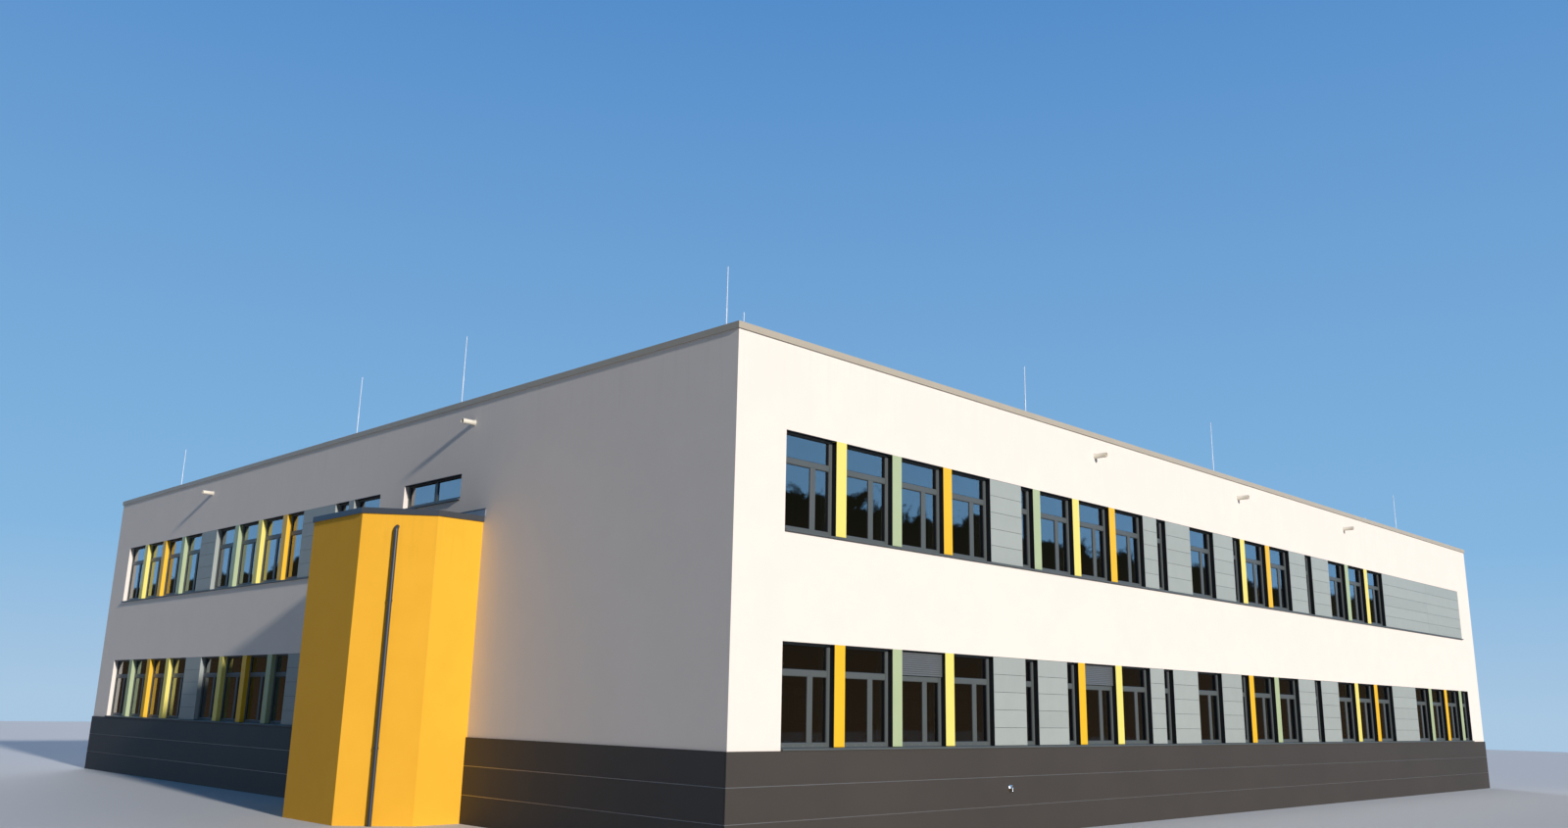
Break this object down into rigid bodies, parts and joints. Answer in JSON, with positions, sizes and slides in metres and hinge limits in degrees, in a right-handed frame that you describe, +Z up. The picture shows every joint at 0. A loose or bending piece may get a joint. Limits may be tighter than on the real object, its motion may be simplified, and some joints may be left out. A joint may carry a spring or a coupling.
{
  "type": "school building",
  "caption": "Flat-roofed school building of two storeys with ribbon windows, coloured fins, grey panels, a dark plinth and a golden annex with cut corners on one side.",
  "frame": {"origin": "on the ground, below the middle of the building's outline with its annex and spouts", "axes": "+X along the long front from the annex side, +Y from the front to the back, +Z up"},
  "size_m": [39.15, 30.03, 10.38],
  "materials": {
    "white_render": "fine-grained mineral render, painted white",
    "golden_render": "fine-grained mineral render, painted golden orange",
    "yellow_panel": "powder-coated sheet, lemon yellow",
    "orange_panel": "powder-coated sheet, golden orange",
    "green_panel": "powder-coated sheet, pale green",
    "grey_panel": "satin coated facade board, pale grey",
    "window_frame": "powder-coated aluminium, slate grey",
    "sill_metal": "powder-coated aluminium, slate grey",
    "coping_metal": "coated aluminium sheet, warm grey",
    "dark_metal": "coated metal sheet, anthracite",
    "spout_metal": "pale coated tube",
    "plinth_board": "fibre cement board, dark brown-grey",
    "roof_membrane": "welded roofing sheet, grey",
    "concrete": "cast concrete",
    "steel": "galvanised steel",
    "glass": "clear double glazing"
  },
  "bodies": {
    "root": {"annex_coping": "dark_metal", "annex_far_wall": "golden_render", "annex_flashing": "dark_metal", "annex_front_wall": "golden_render", "annex_near_wall": "golden_render", "annex_roof": "roof_membrane", "back_panels": "grey_panel", "back_plinth_wall": "concrete", "back_wall": "white_render", "back_window_frames": "window_frame", "back_window_glass": "glass", "downpipe": "dark_metal", "downpipe_clips": "dark_metal", "front_panels": "grey_panel", "front_plinth_wall": "concrete", "front_wall": "white_render", "front_window_frames": "window_frame", "front_window_glass": "glass", "green_fins": "green_panel", "ground_floor_slab": "concrete", "left_panels": "grey_panel", "left_plinth_wall": "concrete", "left_wall": "white_render", "left_window_frames": "window_frame", "left_window_glass": "glass", "lightning_rods": "steel", "orange_fins": "orange_panel", "overflow_spouts": "spout_metal", "plinth_boards": "plinth_board", "plinth_tap": "steel", "right_panels": "grey_panel", "right_plinth_wall": "concrete", "right_wall": "white_render", "right_window_frames": "window_frame", "right_window_glass": "glass", "rod_feet": "concrete", "roof_coping": "coping_metal", "roof_covering": "roof_membrane", "roof_slab": "concrete", "strip_window_frame": "window_frame", "strip_window_glass": "glass", "upper_floor_slab": "concrete", "window_sills": "sill_metal", "yellow_fins": "yellow_panel"}
  },
  "joints": []
}
